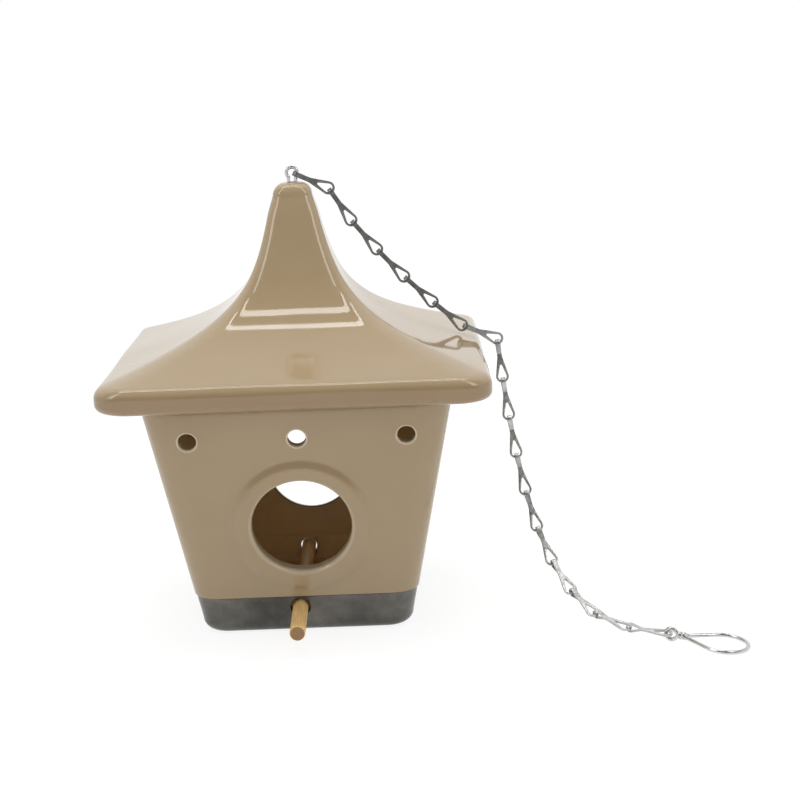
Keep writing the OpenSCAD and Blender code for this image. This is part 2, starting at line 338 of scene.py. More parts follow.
def panel(outline, circles):
    """Flat points and triangles of a convex outline with round holes, on an even grid."""
    pts = [tuple(p) for p in outline]
    edges = [(i, (i + 1) % len(outline)) for i in range(len(outline))]
    for loop in circles:
        base = len(pts)
        pts += [tuple(p) for p in loop]
        edges += [(base + i, base + (i + 1) % len(loop)) for i in range(len(loop))]
    centres = []
    for loop in circles:
        c = np.mean(loop, 0)
        centres.append((c, np.linalg.norm(np.array(loop) - c, axis=1).max()))
    o = np.array(outline)
    lo, hi = o.min(0), o.max(0)

    def inside(p, margin):
        for i in range(len(o)):
            a, b = o[i], o[(i + 1) % len(o)]
            d = b - a
            if (d[0] * (p[1] - a[1]) - d[1] * (p[0] - a[0])) / np.linalg.norm(d) < margin:
                return False
        return all(np.linalg.norm(p - c) > r + margin for c, r in centres)

    nx, ny = [max(2, int(round((hi[k] - lo[k]) / PANEL_GRID))) for k in (0, 1)]
    for i in range(1, nx):
        for j in range(1, ny):
            p = lo + (hi - lo) * np.array([i / nx, j / ny])
            if inside(p, 0.4 * PANEL_GRID):
                pts.append(tuple(p))
    found, _, faces, _, _, _ = delaunay_2d_cdt([Vector(p) for p in pts], edges, [], 0, 1e-6)
    found = np.array([tuple(p) for p in found])
    kept = []
    for f in faces:
        a, b, c = found[list(f)]
        area = abs((b[0] - a[0]) * (c[1] - a[1]) - (b[1] - a[1]) * (c[0] - a[0])) / 2
        if area > SLIVER and not any(within((a + b + c) / 3, loop) for loop in circles):
            kept.append(tuple(f))
    return found, kept


# A direction that no wire's first stretch runs along
ACROSS = (0.3, 0.2, 0.93)


def sweep(path, radius, sides, closed=False):
    """Round wire along a path of points, with frames carried along it."""
    p = np.array(path, float)
    n = len(p)
    if closed:
        t = np.roll(p, -1, 0) - np.roll(p, 1, 0)
    else:
        t = np.gradient(p, axis=0)
    t /= np.linalg.norm(t, axis=1)[:, None]
    up = np.cross(t[0], ACROSS)
    up /= np.linalg.norm(up)
    frames = []
    for i in range(n):
        up = up - (up @ t[i]) * t[i]
        up /= np.linalg.norm(up)
        frames.append((up.copy(), np.cross(t[i], up)))
    twist = 0.0
    if closed:
        u0, v0 = frames[0]
        last = frames[-1][0] - (frames[-1][0] @ t[0]) * t[0]
        twist = math.atan2(last @ v0, last @ u0)
    rings = []
    for i, (u, v) in enumerate(frames):
        a = np.arange(sides) * 2 * math.pi / sides - twist * i / n
        rings.append(p[i] + radius * (np.cos(a)[:, None] * u + np.sin(a)[:, None] * v))
    verts, faces = loft(rings, closed)
    if not closed:
        faces.append(tuple(range(sides - 1, -1, -1)))
        faces.append(tuple((n - 1) * sides + k for k in range(sides)))
    return verts, faces


# The unevenness is the same in every run
noise.seed_set(WAVE_SEED)


def wobble(ring):
    """A ring with the slow unevenness of a slip casting."""
    return np.array([p + WAVINESS * np.array(noise.noise_vector(Vector(p) * WAVE_SCALE)) for p in ring])


# Material helpers


def material(name):
    mat = bpy.data.materials.new(name)
    mat.use_nodes = True
    nt = mat.node_tree
    return mat, nt, nt.nodes["Principled BSDF"]


def node(nt, kind, **values):
    n = nt.nodes.new(kind)
    for key, value in values.items():
        if key in n.inputs:
            n.inputs[key].default_value = value
        else:
            setattr(n, key, value)
    return n


def grey(value):
    return (value,) * 3


def ramp(nt, source, stops):
    r = nt.nodes.new("ShaderNodeValToRGB")
    e = r.color_ramp.elements
    while len(e) < len(stops):
        e.new(0.5)
    for k, (at, colour) in enumerate(stops):
        e[k].position = at
        e[k].color = (*colour, 1)
    nt.links.new(source, r.inputs["Fac"])
    return r


def mix(nt, fac, a, b, blend="MIX"):
    m = nt.nodes.new("ShaderNodeMix")
    m.data_type = "RGBA"
    m.blend_type = blend
    for value, socket in ((fac, m.inputs[0]), (a, m.inputs[6]), (b, m.inputs[7])):
        if isinstance(value, (int, float)):
            socket.default_value = value
        elif isinstance(value, tuple):
            socket.default_value = (*value, 1)
        else:
            nt.links.new(value, socket)
    return m.outputs[2]


def math_node(nt, op, a, b=None):
    m = nt.nodes.new("ShaderNodeMath")
    m.operation = op
    for value, socket in ((a, m.inputs[0]), (b, m.inputs[1])):
        if value is None:
            continue
        if isinstance(value, (int, float)):
            socket.default_value = value
        else:
            nt.links.new(value, socket)
    return m.outputs[0]


def place(nt, scale=(1, 1, 1)):
    """Object coordinates, stretched."""
    tc = nt.nodes.new("ShaderNodeTexCoord")
    m = nt.nodes.new("ShaderNodeMapping")
    m.inputs["Scale"].default_value = scale
    nt.links.new(tc.outputs["Object"], m.inputs["Vector"])
    return m.outputs["Vector"]


def noise_tex(nt, vector, scale, detail=2.0, rough=0.5):
    n = node(nt, "ShaderNodeTexNoise", Scale=scale, Detail=detail, Roughness=rough)
    nt.links.new(vector, n.inputs["Vector"])
    return n.outputs["Fac"]


def bump(nt, bsdf, height, strength, distance):
    b = node(nt, "ShaderNodeBump", Strength=strength, Distance=distance)
    nt.links.new(height, b.inputs["Height"])
    nt.links.new(b.outputs["Normal"], bsdf.inputs["Normal"])


def sharpness(nt, low, high):
    """0 on flat and hollow stretches, 1 on worn outer edges."""
    geometry = nt.nodes.new("ShaderNodeNewGeometry")
    stops = [(low, grey(0)), (high, grey(1))]
    return ramp(nt, geometry.outputs["Pointiness"], stops).outputs["Color"]


def attribute(nt, name):
    n = nt.nodes.new("ShaderNodeAttribute")
    n.attribute_name = name
    return n.outputs["Fac"]


def glaze(name, low, high, thin, painted_shade_colour):
    """Glossy glaze that breaks pale where it runs thin, and takes painted shade where the mesh asks for it.
    """
    mat, nt, bsdf = material(name)
    at = place(nt)
    tone = ramp(nt, noise_tex(nt, at, 22, 3), [(0.3, low), (0.7, high)]).outputs["Color"]
    # Painted shade: the glaze darkens where the mesh's amount is set
    tone = mix(nt, attribute(nt, "painted_shade"), tone, painted_shade_colour)
    tone = mix(nt, attribute(nt, "thin"), tone, thin)
    nt.links.new(tone, bsdf.inputs["Base Color"])
    rough = ramp(nt, noise_tex(nt, at, 60, 3), [(0.3, grey(0.045)), (0.75, grey(0.09))])
    nt.links.new(rough.outputs["Color"], bsdf.inputs["Roughness"])
    bsdf.inputs["IOR"].default_value = 1.5
    bump(nt, bsdf, noise_tex(nt, at, 55, 1.5), 0.15, 0.0004)
    return mat


def pewter():
    """Mottled grey metallic glaze, rubbed lighter along its edges."""
    mat, nt, bsdf = material("pewter_glaze")
    at = place(nt)
    long = place(nt, (1, 1, 2.5))
    dark, pale, rubbed = (0.052, 0.049, 0.042), (0.165, 0.156, 0.137), (0.24, 0.23, 0.205)
    cloud = ramp(nt, noise_tex(nt, at, 38, 5, 0.6), [(0.34, dark), (0.66, pale)])
    streak = ramp(nt, noise_tex(nt, long, 130, 4, 0.6), [(0.3, grey(0.88)), (0.72, grey(1.1))])
    tone = mix(nt, 1.0, cloud.outputs["Color"], streak.outputs["Color"], "MULTIPLY")
    tone = mix(nt, sharpness(nt, 0.52, 0.62), tone, rubbed)
    nt.links.new(tone, bsdf.inputs["Base Color"])
    rough = ramp(nt, noise_tex(nt, at, 60, 4, 0.6), [(0.3, grey(0.22)), (0.75, grey(0.38))])
    nt.links.new(rough.outputs["Color"], bsdf.inputs["Roughness"])
    bsdf.inputs["Metallic"].default_value = 0.35
    bump(nt, bsdf, noise_tex(nt, long, 160, 3), 0.08, 0.0003)
    return mat


def wood():
    """Pale straight-grained dowel with darker end grain."""
    mat, nt, bsdf = material("birch_dowel")
    along = place(nt, (1, 0.06, 1))
    fine = place(nt, (1, 0.025, 1))
    late, early = (0.84, 0.53, 0.195), (0.98, 0.70, 0.315)
    base = ramp(nt, noise_tex(nt, along, 900, 4, 0.6), [(0.25, late), (0.75, early)])
    fibre = ramp(nt, noise_tex(nt, fine, 3200, 3, 0.6), [(0.32, grey(0.8)), (0.6, grey(1.08))])
    side = mix(nt, 1.0, base.outputs["Color"], fibre.outputs["Color"], "MULTIPLY")
    # Faces square to the dowel show end grain, with faint growth rings
    tc = nt.nodes.new("ShaderNodeTexCoord")
    sep = nt.nodes.new("ShaderNodeSeparateXYZ")
    nt.links.new(tc.outputs["Normal"], sep.inputs[0])
    end = math_node(nt, "GREATER_THAN", math_node(nt, "ABSOLUTE", sep.outputs["Y"]), 0.8)
    ringed = node(nt, "ShaderNodeTexWave", wave_type="RINGS", rings_direction="Y", Scale=420)
    ringed.inputs["Distortion"].default_value = 2.5
    ringed.inputs["Detail"].default_value = 2.0
    nt.links.new(place(nt), ringed.inputs["Vector"])
    grain = ramp(nt, ringed.outputs["Fac"], [(0.2, (0.27, 0.145, 0.060)), (0.8, (0.42, 0.245, 0.110))])
    nt.links.new(mix(nt, end, side, grain.outputs["Color"]), bsdf.inputs["Base Color"])
    bsdf.inputs["Roughness"].default_value = 0.55
    bump(nt, bsdf, noise_tex(nt, fine, 3200, 3, 0.6), 0.35, 0.0002)
    return mat


# Heights in metres between which the chain's painted shade sets in: it hangs bright and is painted dark
# where it lies over the roof
HEIGHT_SHADE_FROM = 0.085
HEIGHT_SHADE_TO = 0.125


def metal(name, dark, light, edge, rough, grain, height_shade=None):
    """Bare metal with brighter worn edges. The last argument is how far painted shade darkens it with
    height.
    """
    mat, nt, bsdf = material(name)
    at = place(nt)
    tone = ramp(nt, noise_tex(nt, at, grain, 4, 0.6), [(0.3, dark), (0.7, light)]).outputs["Color"]
    # Painted shade: the metal darkens with height, standing for the dark reflections over the roof
    if height_shade:
        split = nt.nodes.new("ShaderNodeSeparateXYZ")
        nt.links.new(at, split.inputs[0])
        fade = ramp(nt, split.outputs["Z"], [(HEIGHT_SHADE_FROM, grey(1)), (HEIGHT_SHADE_TO, grey(height_shade))])
        tone = mix(nt, 1.0, tone, fade.outputs["Color"], "MULTIPLY")
    nt.links.new(mix(nt, sharpness(nt, 0.52, 0.66), tone, edge), bsdf.inputs["Base Color"])
    bsdf.inputs["Metallic"].default_value = 1.0
    stops = [(0.3, grey(rough * 0.75)), (0.7, grey(rough * 1.25))]
    uneven = ramp(nt, noise_tex(nt, at, grain * 1.7, 3), stops)
    nt.links.new(uneven.outputs["Color"], bsdf.inputs["Roughness"])
    bump(nt, bsdf, noise_tex(nt, at, grain * 3, 2), 0.12, 0.0001)
    return mat


THIN_GLAZE = (0.74, 0.65, 0.50)
# Colour of the painted shade round the eave and on the raised ring
PAINTED_SHADE_GLAZE = (0.27, 0.165, 0.085)
GLAZE = glaze("tan_glaze", (0.385, 0.286, 0.166), (0.412, 0.308, 0.182), THIN_GLAZE, PAINTED_SHADE_GLAZE)
# The insides take the tan glaze more than twice as pale: painted light that lifts the shade inside the
# house and the tray
INSIDE_GLAZE_PAINTED_LIGHT = glaze("inside_glaze_painted_light", (0.88, 0.64, 0.34), (0.93, 0.69, 0.38), THIN_GLAZE, PAINTED_SHADE_GLAZE)
PEWTER = pewter()
WOOD = wood()
STEEL = metal(
    "stamped_steel",
    dark=(0.46, 0.46, 0.455),
    light=(0.68, 0.68, 0.67),
    edge=(0.74, 0.74, 0.73),
    rough=0.42,
    grain=420,
    # Painted shade on the links over the roof
    height_shade=0.22,
)
ZINC = metal(
    "zinc_wire",
    dark=(0.46, 0.475, 0.47),
    light=(0.68, 0.69, 0.68),
    edge=(0.80, 0.81, 0.80),
    rough=0.22,
    grain=300,
)


# Roof: one closed skin over rounded squares, from the bore up, over the slope and eave and back inside

# Steps in a corner's arc and along a side of the roof's rings
CORNER = 14
SIDE = 26


def spire_trim(z):
    """The glazed spire draws in a little at its top and fills out below it."""
    above = z - PEAK_Z
    swell = max(0.0, 1 - ((above + SWELL_AT) / SWELL_REACH) ** 2)
    return SPIRE_SWELL * swell - SPIRE_DRAW * smooth((above + DRAW_FROM) / DRAW_LENGTH)


def roof_ring(w, z):
    r = HIP_R + (ROOF_CORNER_R - HIP_R) * (w / EAVE) ** HIP_GROWTH
    return rounded(w, min(r, 0.97 * w), z, CORNER, SIDE)


def round_ring(like, radius, z):
    """A circle whose points lie in the directions of another ring's points."""
    d = like[:, :2] / np.linalg.norm(like[:, :2], axis=1)[:, None]
    return np.column_stack([d * radius, np.full(len(d), z)])


def eave_painted_shade(x, y, z):
    """Painted shade round the eave and under it, strongest low on the eave's band and on its underside."""
    if max(abs(x), abs(y)) < TOP_W / 2:
        return 0.0
    return EAVE_PAINTED_SHADE * smooth((EAVE_Z + 0.7 * EAVE_R - z) / (0.5 * EAVE_R))


def make_roof():
    cap_z = PEAK_Z - CAP_R
    # Newton's steps to the half width at which the slope meets the cap
    cap_w = SPIRE_W / 2
    for _ in range(12):
        cap_w += (slope_z(cap_w) - cap_z) / slope_grade(cap_w)
    trimmed_w = cap_w + spire_trim(cap_z)
    bore_r = EYE_LEG_X + EYE_WIRE_D / 2 + WIRE_CLEAR
    # Up the bore and over its lip to the flat top
    top = roof_ring(trimmed_w - CAP_R, PEAK_Z)
    rings = [round_ring(top, bore_r, z) for z in np.linspace(CEILING_Z, PEAK_Z - BORE_LIP, 6)]
    for a in quarter(4)[1:]:
        lip_r = bore_r + BORE_LIP * (1 - math.cos(a))
        rings.append(round_ring(top, lip_r, PEAK_Z - BORE_LIP * (1 - math.sin(a))))
    lip_ring = rings[-1]
    rings += [(1 - t) * lip_ring + t * top for t in (0.25, 0.5, 0.75)]
    # Down the cap, the spire, the slope and the eave
    uneven_from = len(rings) + 3
    for a in reversed(quarter(10)):
        rings.append(roof_ring(trimmed_w - CAP_R * (1 - math.cos(a)), cap_z + CAP_R * math.sin(a)))
    slope_steps = 64
    for k in range(1, slope_steps + 1):
        w = cap_w * (SLOPE_W / cap_w) ** (k / slope_steps)
        z = slope_z(w)
        rings.append(roof_ring(w + spire_trim(z), z))
    for a in EAVE_TURN * np.arange(13, -1, -1) / 14:
        rings.append(roof_ring(EAVE - EAVE_R * (1 - math.cos(a)), EAVE_Z + EAVE_R * math.sin(a)))
    rings += [roof_ring(EAVE, z) for z in np.linspace(EAVE_Z, HOUSE_H + DRIP_R, 5)[1:]]
    for a in quarter(6)[1:]:
        rings.append(roof_ring(EAVE - DRIP_R * (1 - math.cos(a)), HOUSE_H + DRIP_R * (1 - math.sin(a))))
    uneven_to = len(rings) - 1
    # Along the underside and back up inside
    cavity_w = TOP_W / 2 - WALL
    rings += [roof_ring(w, HOUSE_H) for w in np.linspace(EAVE - DRIP_R, cavity_w, 6)[1:]]
    cavity_low = slope_z(cavity_w + ROOF_WALL) - ROOF_WALL
    rings += [roof_ring(cavity_w, z) for z in np.linspace(HOUSE_H, cavity_low, 5)[1:]]
    cavity_steps = 20
    for k in range(1, cavity_steps + 1):
        w = cavity_w * (CEILING_W / 2 / cavity_w) ** (k / cavity_steps)
        rings.append(roof_ring(w, slope_z(w + ROOF_WALL) - ROOF_WALL))
    ceiling = roof_ring(CEILING_W / 2, CEILING_Z)
    rings += [(1 - t) * ceiling + t * round_ring(ceiling, bore_r, CEILING_Z) for t in (0.25, 0.5, 0.75)]
    for i in range(uneven_from, uneven_to):
        z = rings[i][:, 2]
        keep = np.clip((z - HOUSE_H) / WAVE_FADE_SEAT, 0, 1) * np.clip((PEAK_Z - z) / WAVE_FADE_PEAK, 0, 1)
        moved = wobble(rings[i])
        moved[:, :2] = np.clip(moved[:, :2], -EAVE, EAVE)
        rings[i] = rings[i] + (moved - rings[i]) * keep[:, None]
    verts, faces = loft(rings, closed=True)
    obj = make("roof_casting", verts, faces, "feeder", ["roof"], [GLAZE])
    # Painted shade round the eave and under it
    set_amounts(obj, "painted_shade", [eave_painted_shade(*(np.array(v.co) / MM)) for v in obj.data.vertices])


# House: flat leaning walls with true holes, joined by rounded corners

# Steps in a corner's arc, along a side and up the walls
HOUSE_CORNER = 12
HOUSE_SIDE = 26
HOUSE_LEVELS = 22


def front_span(corner, side):
    """First and last index of a ring's points along the front wall."""
    return 2 * (corner + side) + corner, 3 * (corner + side)


def back_span(corner, side):
    return corner, corner + side


def hole_rings(place_at, profile):
    """Rings of a hole, from its outer rim inwards. profile holds (radius, height out of the wall)."""
    turns = np.arange(HOLE_POINTS) * 2 * math.pi / HOLE_POINTS
    rings = []
    for r, h in profile:
        rings.append(np.array([place_at(r * math.cos(a), r * math.sin(a), h) for a in turns]))
    return rings


def arc_profile(cx, cy, r, a0, a1, n):
    turns = [math.radians(a0 + (a1 - a0) * k / n) for k in range(n + 1)]
    return [(cx + r * math.cos(a), cy + r * math.sin(a)) for a in turns]


def pierced_shell(outer, inner, corner, side, holes, half, wall):
    """Skins of the front and back walls, outside then inside, and the bores through them.

    outer and inner are the shell's rings up the walls, holes lists the front holes and the back ones, and
    half(z) is the shell's half width.
    """
    skins, bores = [], []
    first, last = front_span(corner, side)
    for rings, depth, rim in ((outer, 0, 0), (inner, wall, -1)):
        pick = [k % len(rings[0]) for k in range(first, last + 1)]
        outline = [rings[0][k] for k in pick]
        outline += [r[pick[-1]] for r in rings[1:-1]]
        outline += [rings[-1][k] for k in reversed(pick)]
        outline += [r[pick[0]] for r in reversed(rings[1:-1])]
        flat = [(p[0], p[2]) for p in outline]
        for mirror, pierced_by in zip((1, -1), holes):
            loops = [[(p[0], p[2]) for p in h[rim]] for h in pierced_by]
            pts, tris = panel(flat, loops)
            skins.append((np.array([(x, mirror * (depth - half(z)), z) for x, z in pts]), tris))
    for mirror, pierced_by in zip((1, -1), holes):
        for h in pierced_by:
            verts, faces = loft(h)
            bores.append((verts * (1, mirror, 1), faces))
    return skins + bores


def make_shell(name, outside, inside, node_name, finish):
    """A casting with its own finish outside, and inside a much paler copy of the tan glaze that paints
    light into the shaded inside.
    """
    verts, faces = join(*outside, *inside)
    out_count = sum(len(f) for _, f in outside)
    index = [0] * out_count + [1] * (len(faces) - out_count)
    obj = make(name, verts, faces, "feeder", [node_name], [finish, INSIDE_GLAZE_PAINTED_LIGHT], index)
    even_normals(obj)
    return obj


def beside_panels(corner, side):
    """A test that leaves the front and back walls out of a loft."""
    spans = (front_span(corner, side), back_span(corner, side))
    return lambda i, j: any(a <= j < b for a, b in spans)


# Directions square to the front wall and up along it
WALL_OUT = np.array([0, -math.cos(LEAN), -math.sin(LEAN)])
WALL_UP = np.array([0, -math.sin(LEAN), math.cos(LEAN)])
FEED_R = FEED_D / 2
RING_R = FEED_R + FEED_RING
VENT_R = VENT_D / 2
VENTS_X = (-VENT_PITCH, 0, VENT_PITCH)
# How far the raised ring's flank runs out, and the flat fringes beyond it and beyond the rims of the vents
RING_FOOT = 0.2
RING_FRINGE = 0.5
VENT_FRINGE = 0.2


def on_wall(x0, z0):
    """Places points about a hole's centre: across the wall, up along it and out of it."""
    centre = np.array([x0, -house_half(z0), z0])
    return lambda u, v, h: centre + np.array([u, 0, 0]) + WALL_UP * v + WALL_OUT * h


def house_holes():
    depth = WALL * math.cos(LEAN)
    # Up the flank of the raised ring, over its lip and through the wall
    flank = FEED_FLANK + RING_FOOT
    feed = [(RING_R + RING_FRINGE, 0.0), (RING_R + RING_FOOT, 0.0)]
    for t in np.arange(1, 15) / 14:
        feed.append((RING_R + RING_FOOT - flank * t, RING_H * smooth(t)))
    feed += [(r, RING_H) for r in np.linspace(RING_R - FEED_FLANK, FEED_R + LIP_R, 5)[1:]]
    feed += arc_profile(FEED_R + LIP_R, RING_H - LIP_R, LIP_R, 90, 180, 8)[1:]
    feed += [(FEED_R, -1.5), (FEED_R, -2.6), (FEED_R, FEED_BACK_R - depth)]
    feed += arc_profile(FEED_R + FEED_BACK_R, FEED_BACK_R - depth, FEED_BACK_R, 180, 270, 4)[1:]
    # Over a vent's rim and through the wall
    vent = [(VENT_R + VENT_RIM + VENT_FRINGE, 0.0)]
    vent += arc_profile(VENT_R + VENT_RIM, -VENT_RIM, VENT_RIM, 90, 180, 6)
    vent += [(VENT_R, -2.0), (VENT_R, VENT_BACK_R - depth)]
    vent += arc_profile(VENT_R + VENT_BACK_R, VENT_BACK_R - depth, VENT_BACK_R, 180, 270, 3)[1:]
    return [hole_rings(on_wall(0, FEED_Z), feed)] + [hole_rings(on_wall(x, VENT_Z), vent) for x in VENTS_X]


def about(p, x0, z0):
    """Distance from a hole's axis, height out of the wall and height above the hole's centre."""
    d = p - np.array([x0, -house_half(z0), z0])
    h = d @ WALL_OUT
    return math.sqrt(max(0, d @ d - h * h)), h, d @ WALL_UP


def thin_at(p):
    """The glaze runs thin on the rims of the vents, and half as much on the lip of the feeding hole."""
    amount = 0.0
    for x in VENTS_X:
        r, h, _ = about(p, x, VENT_Z)
        if h > -THIN_DEPTH and r < VENT_R + VENT_RIM:
            amount = max(amount, min(1.0, (VENT_R + VENT_RIM - r) / VENT_LINE))
    r, h, _ = about(p, 0, FEED_Z)
    lip = FEED_R + LIP_LINE
    if h > -LIP_THIN_DEPTH and r < lip:
        amount = max(amount, 0.5 * min(1.0, lip - r))
    return amount


def ring_painted_shade(p):
    """Painted shade on the upper flank of the raised ring, which faces the shaded underside of the eave."""
    r, h, v = about(p, 0, FEED_Z)
    low, high = RING_R - FEED_FLANK - 0.8, RING_R + 0.3
    if h < -0.5 or r > high or r < low:
        return 0.0
    across = min(1.0, (high - r) / 0.8, r - low)
    return RING_PAINTED_SHADE * across * max(0.0, min(1.0, (v / r - 0.35) / 0.35))


def make_house():
    corner, side = HOUSE_CORNER, HOUSE_SIDE
    levels = np.linspace(BASE_H + HOUSE_FOOT_R, HOUSE_H, HOUSE_LEVELS + 1)
    outer = [rounded(house_half(z), CORNER_R, z, corner, side) for z in levels]
    inner = [rounded(house_half(z) - WALL, CORNER_R - WALL, z, corner, side) for z in levels]
    bottom_out, bottom_in = [outer[0]], [inner[0]]
    for a in quarter(5)[1:]:
        d = HOUSE_FOOT_R * (1 - math.cos(a))
        z = BASE_H + HOUSE_FOOT_R * (1 - math.sin(a))
        bottom_out.append(rounded(house_half(z) - d, CORNER_R - d, z, corner, side))
        bottom_in.append(rounded(house_half(z) - WALL, CORNER_R - WALL, z, corner, side))
    skip = beside_panels(corner, side)
    outside = [loft(outer, skip=skip), loft(bottom_out), loft([bottom_out[-1], bottom_in[-1]])]
    inside = [loft(inner, skip=skip), loft(bottom_in), loft([outer[-1], inner[-1]])]
    holes = house_holes()
    panels = pierced_shell(outer, inner, corner, side, (holes, holes), house_half, WALL)
    outside += panels[:2] + panels[4:]
    inside += panels[2:4]
    obj = make_shell("house_casting", outside, inside, "house", GLAZE)
    points = [np.array(v.co) / MM * (1, math.copysign(1, -v.co.y), 1) for v in obj.data.vertices]
    set_amounts(obj, "thin", [thin_at(p) for p in points])
    # Painted shade on the raised ring's upper flank
    set_amounts(obj, "painted_shade", [ring_painted_shade(p) for p in points])


# Base tray: rounded foot, leaning sides with the perch holes, glazed inside


def base_half(z):
    return house_half(z) - BASE_STEP


def perch_hole(hole_r, z0):
    def at(u, v, h):
        z = z0 + v
        return np.array([u - PERCH_ASIDE, -base_half(z) - h, z])

    rim_r = hole_r + PERCH_HOLE_LIP
    profile = [(rim_r, 0.0)] + arc_profile(rim_r, -PERCH_HOLE_LIP, PERCH_HOLE_LIP, 90, 180, 4)[1:]
    profile += [(hole_r, -1.5), (hole_r, -3.0), (hole_r, -BASE_WALL)]
    return hole_rings(at, profile)


# Steps in a corner's arc, along a side and up the walls
BASE_CORNER = 12
BASE_SIDE = 30
BASE_LEVELS = 6


def make_base():
    corner, side = BASE_CORNER, BASE_SIDE
    inner_r = CORNER_R - BASE_WALL
    foot = base_half(FOOT_R)
    rim_z = BASE_H - 0.6 * TRAY_LIP
    cove_z = BASE_FLOOR + TRAY_COVE
    outer_z = np.linspace(FOOT_R, rim_z, BASE_LEVELS + 1)
    inner_z = np.linspace(cove_z, rim_z, BASE_LEVELS + 1)
    outer = [rounded(base_half(z), CORNER_R, z, corner, side) for z in outer_z]
    inner = [rounded(base_half(z) - BASE_WALL, inner_r, z, corner, side) for z in inner_z]
    edge = []
    for a in quarter(10):
        d = FOOT_R * (1 - math.sin(a))
        edge.append(rounded(foot - d, CORNER_R - d, FOOT_R * (1 - math.cos(a)), corner, side))
    # Rings over the flat underside, from its middle outwards
    under = []
    for w in (1.0, 20.0, foot - FOOT_R):
        under.append(rounded(w, min(CORNER_R - FOOT_R, 0.5 * w), 0.0, corner, side))
    rim = [outer[-1]]
    for a in quarter(4)[1:]:
        d = TRAY_LIP * (1 - math.cos(a))
        z = rim_z + (BASE_H - rim_z) * math.sin(a)
        rim.append(rounded(base_half(rim_z) - d, CORNER_R - d, z, corner, side))
    rim.append(rounded(base_half(BASE_H) - BASE_WALL, inner_r, BASE_H, corner, side))
    cove = [inner[0]]
    for a in quarter(5)[1:]:
        d = TRAY_COVE * (1 - math.cos(a))
        w = base_half(cove_z) - BASE_WALL - d
        cove.append(rounded(w, inner_r - d, cove_z - TRAY_COVE * math.sin(a), corner, side))
    # Rings over the floor, towards its middle
    floor = [cove[-1]]
    for w in (25.0, 1.0):
        floor.append(rounded(w, min(6.0, 0.5 * w), BASE_FLOOR, corner, side))
    front_hole = perch_hole(PERCH_HOLE_D / 2, PERCH_HOLE_Z)
    back_hole = perch_hole(PERCH_HOLE_D / 2 - GLAZE_FILL, PERCH_HOLE_Z - GLAZE_FILL)
    skip = beside_panels(corner, side)
    outside = [loft(outer, skip=skip), loft(edge), loft(under), loft(rim), cap(under[0])]
    inside = [loft(inner, skip=skip), loft([rim[-1], inner[-1]]), loft(cove), loft(floor), cap(floor[-1])]
    panels = pierced_shell(outer, inner, corner, side, ([front_hole], [back_hole]), base_half, BASE_WALL)
    outside += panels[:2] + panels[4:]
    inside += panels[2:4]
    make_shell("base_casting", outside, inside, "base_tray", PEWTER)


# Perch: a turned dowel with broken edges


PERCH_SIDES = 40


def make_perch():
    half = house_half(PERCH_Z) + PERCH_STUB
    r = PERCH_D / 2
    tip = [(r * 0.45, -half), (r - 0.75, -half + 0.02), (r - 0.35, -half + 0.14), (r - 0.1, -half + 0.42)]
    stations = tip + [(r, y) for y in np.linspace(-half + 0.8, half - 0.8, 60)]
    stations += [(tip_r, -y) for tip_r, y in reversed(tip)]
    turns = [2 * math.pi * k / PERCH_SIDES for k in range(PERCH_SIDES)]
    rings = []
    for station_r, y in stations:
        pts = []
        for a in turns:
            d = 0.0
            if station_r > PERCH_FACE_R:
                d = PERCH_WAVE * noise.noise(Vector((math.cos(a) * 1.5, y * 0.05, math.sin(a) * 1.5)))
            at_r = station_r - PERCH_WAVE + d
            pts.append((at_r * math.cos(a) - PERCH_ASIDE, y, PERCH_Z + at_r * math.sin(a)))
        rings.append(np.array(pts))
    verts, faces = join(loft(rings), cap(rings[0]), cap(rings[-1]))
    make("perch_dowel", verts, faces, "perch", ["perch"], [WOOD])


# Hanging eye: one bent wire


def bend(points, radius, steps=6):
    """Rounds the inner corners of a path."""
    p = [np.array(q, float) for q in points]
    out = [p[0]]
    for a, b, c in zip(p, p[1:], p[2:]):
        d = min(radius, 0.45 * np.linalg.norm(b - a), 0.45 * np.linalg.norm(c - b))
        s = b + (a - b) / np.linalg.norm(a - b) * d
        e = b + (c - b) / np.linalg.norm(c - b) * d
        for k in range(steps + 1):
            t = k / steps
            out.append((1 - t) ** 2 * s + 2 * t * (1 - t) * b + t * t * e)
    out.append(p[-1])
    return out


def make_eye():
    eye_z = PEAK_Z + EYE_RISE
    leg = EYE_LEG_X
    low = eye_z - SEAT_R * math.sin(EYE_TURN)
    foot_z = CEILING_Z - WASHER_T - SEAT_GAP - EYE_WIRE_D / 2
    corners = [(-leg - EYE_FOOT, 0, foot_z), (-leg, 0, foot_z), (-leg, 0, low)]
    left = bend(corners, EYE_FOOT_BEND)[:-1]
    left += [np.array((-leg, 0, z)) for z in np.linspace(foot_z + 2, low - 0.3, 8)]
    turns = np.linspace(math.pi + EYE_TURN, -EYE_TURN, 41)
    ring = [np.array((SEAT_R * math.cos(a), 0, eye_z + SEAT_R * math.sin(a))) for a in turns]
    path = left + ring + [p * (-1, 1, 1) for p in reversed(left)]
    verts, faces = sweep(path, EYE_WIRE_D / 2, 16)
    make("eye_wire", verts, faces, "feeder", ["hanging_eye"], [ZINC])


# Chain: each link is a strip folded over the bar before it, pressed flat and pierced with an eye


def tangent(q, c, r):
    """Where a line from q touches a circle of radius r round c, on the upper side."""
    d = np.array(q) - np.array(c)
    a = math.atan2(d[1], d[0]) + math.copysign(1, d[0]) * math.acos(r / np.linalg.norm(d))
    return np.array(c) + r * np.array([math.cos(a), math.sin(a)])


